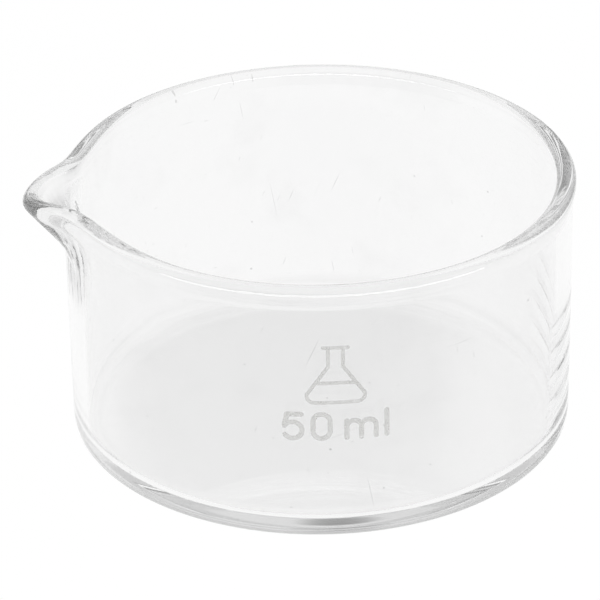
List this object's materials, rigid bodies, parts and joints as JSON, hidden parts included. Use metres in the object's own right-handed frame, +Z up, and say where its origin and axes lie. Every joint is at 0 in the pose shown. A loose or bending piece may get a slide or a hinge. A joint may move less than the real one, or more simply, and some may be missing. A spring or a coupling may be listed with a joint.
{
  "type": "evaporating dish",
  "caption": "Flat-bottomed clear glass evaporating dish with upright walls, a fire-polished rim and a pulled pouring spout, with enamel marks on its front.",
  "frame": {"origin": "centre of the flat underside, which stands on Z = 0, on the axis of the round wall", "axes": "+Z up along the dish's axis; -X towards the tip of the pouring spout; -Y towards the enamel marks"},
  "size_m": [0.0649, 0.0606, 0.0328],
  "materials": {
    "borosilicate_glass": "fire-polished clear borosilicate glass",
    "fired_enamel": "thin grey-white enamel fired onto the glass, satin"
  },
  "bodies": {
    "root": {"glass_dish": "borosilicate_glass", "emblem_print": "fired_enamel", "capacity_print": "fired_enamel"}
  },
  "joints": []
}
